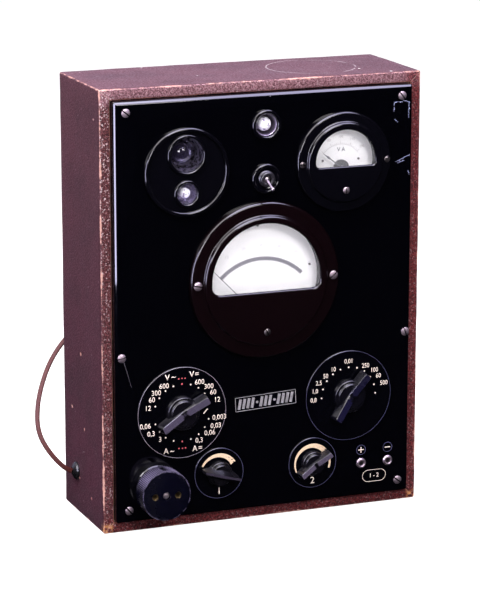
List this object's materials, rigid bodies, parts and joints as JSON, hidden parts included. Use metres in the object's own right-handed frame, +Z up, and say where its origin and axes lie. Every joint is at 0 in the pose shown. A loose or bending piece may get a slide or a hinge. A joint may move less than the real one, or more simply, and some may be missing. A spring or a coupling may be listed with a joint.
{
  "type": "analog multimeter",
  "caption": "Upright leatherette-covered case with a black panel of round moving-coil meters, rotary selectors, small control knobs, lamps, a tuning eye and a pull-out plug.",
  "frame": {"origin": "on the surface the case stands on, under the middle of the box round the case and its front and rear fittings, leaving out the flex and its grommet", "axes": "+Z up along the case's height, its longest side; +Y from the front panel to the back, the shortest side; +X to the user's right as they face the panel"},
  "size_m": [0.2996, 0.206, 0.355],
  "materials": {
    "leatherette": "reddish-brown grained leatherette over wooden boards, worn at its edges",
    "fibreboard": "dark hardboard",
    "pine": "plain softwood",
    "black_enamel": "glossy black",
    "black_bakelite": "polished black bakelite",
    "brown_bakelite": "polished brownish-black bakelite",
    "engraved_disc": "satin black with white engraved markings",
    "nickel": "dulled nickel plate",
    "dark_steel": "blackened steel",
    "clear_glass": "clear glass",
    "dial_white": "matt white dial with printed scales",
    "needle_black": "black-lacquered aluminium",
    "black_rubber": "glossy black rubber",
    "brown_flex": "reddish-brown flexible sheath",
    "varnished_paper": "varnished paper laminate"
  },
  "bodies": {
    "case": {"big_meter_dial": "dial_white", "big_meter_flange_screw_1": "nickel", "big_meter_flange_screw_2": "nickel", "big_meter_glass": "clear_glass", "big_meter_housing": "brown_bakelite", "big_meter_movement": "needle_black", "case_bottom_board": "leatherette", "case_left_board": "leatherette", "case_right_board": "leatherette", "case_top_board": "leatherette", "eye_escutcheon": "black_bakelite", "eye_lamp_bulb": "clear_glass", "eye_tube": "clear_glass", "flex_cleat": "black_bakelite", "flex_coil": "brown_flex", "flex_grommet": "black_rubber", "flex_lead": "brown_flex", "front_panel": "black_enamel", "left_panel_batten": "pine", "left_pot_body": "varnished_paper", "left_pot_disc": "engraved_disc", "left_selector_disc": "engraved_disc", "left_selector_switch": "varnished_paper", "mains_plug": "black_bakelite", "mains_transformer": "dark_steel", "minus_jack": "nickel", "nameplate": "nickel", "outlet_socket": "black_bakelite", "panel_screw_1": "nickel", "panel_screw_2": "nickel", "panel_screw_3": "nickel", "panel_screw_4": "nickel", "panel_screw_5": "nickel", "panel_screw_6": "nickel", "plus_jack": "nickel", "rear_cover": "fibreboard", "right_panel_batten": "pine", "right_pot_body": "varnished_paper", "right_pot_disc": "engraved_disc", "right_selector_disc": "engraved_disc", "right_selector_switch": "varnished_paper", "small_meter_dial": "dial_white", "small_meter_flange_screw_1": "dark_steel", "small_meter_flange_screw_2": "dark_steel", "small_meter_glass": "clear_glass", "small_meter_housing": "black_bakelite", "small_meter_movement": "needle_black", "toggle_switch_body": "black_bakelite", "top_lamp_bezel": "black_bakelite", "top_lamp_bulb": "clear_glass"},
    "left_selector": {"left_selector_knob": "black_bakelite"},
    "right_selector": {"right_selector_knob": "black_bakelite"},
    "left_pot": {"left_pot_knob": "black_bakelite"},
    "right_pot": {"right_pot_knob": "black_bakelite"},
    "toggle": {"toggle_lever": "nickel"},
    "small_needle": {"small_meter_needle": "needle_black"},
    "big_needle": {"big_meter_needle": "needle_black"},
    "small_zero": {"small_meter_zero_screw": "nickel"},
    "big_zero": {"big_meter_zero_screw": "dark_steel"},
    "adaptor": {"adaptor_plug": "black_bakelite"}
  },
  "joints": [
    {"name": "left_selector_turn", "type": "hinge", "parent": "case", "child": "left_selector", "pos_m": [-0.0714, -0.04175, 0.0955], "axis": [0, 1, 0], "continuous": true},
    {"name": "right_selector_turn", "type": "hinge", "parent": "case", "child": "right_selector", "pos_m": [0.0714, -0.04175, 0.0953], "axis": [0, 1, 0], "range_deg": [-126, 54]},
    {"name": "left_pot_turn", "type": "hinge", "parent": "case", "child": "left_pot", "pos_m": [-0.0403, -0.04175, 0.0423], "axis": [0, 1, 0], "range_deg": [-61, 209]},
    {"name": "right_pot_turn", "type": "hinge", "parent": "case", "child": "right_pot", "pos_m": [0.0403, -0.04175, 0.0423], "axis": [0, 1, 0], "range_deg": [-192, 78]},
    {"name": "toggle_flip", "type": "hinge", "parent": "case", "child": "toggle", "pos_m": [-0.0005, -0.04915, 0.2783], "axis": [-1, 0, 0], "range_deg": [0, 44]},
    {"name": "small_needle_swing", "type": "hinge", "parent": "case", "child": "small_needle", "pos_m": [0.065, -0.04175, 0.282], "axis": [0, 1, 0], "range_deg": [0, 104], "stiffness_Nm_per_rad": 0.0008, "springref_deg": -20.05},
    {"name": "big_needle_swing", "type": "hinge", "parent": "case", "child": "big_needle", "pos_m": [-0.002, -0.04175, 0.164], "axis": [0, 1, 0], "range_deg": [0, 89], "stiffness_Nm_per_rad": 0.0008, "springref_deg": -20.05},
    {"name": "small_zero_turn", "type": "hinge", "parent": "case", "child": "small_zero", "pos_m": [0.065, -0.04175, 0.2655], "axis": [0, 1, 0], "range_deg": [-90, 90]},
    {"name": "big_zero_turn", "type": "hinge", "parent": "case", "child": "big_zero", "pos_m": [-0.002, -0.04175, 0.1562], "axis": [0, 1, 0], "range_deg": [-90, 90]},
    {"name": "adaptor_slide", "type": "slide", "parent": "case", "child": "adaptor", "axis": [0, -1, 0], "range_m": [0, 0.022]}
  ]
}
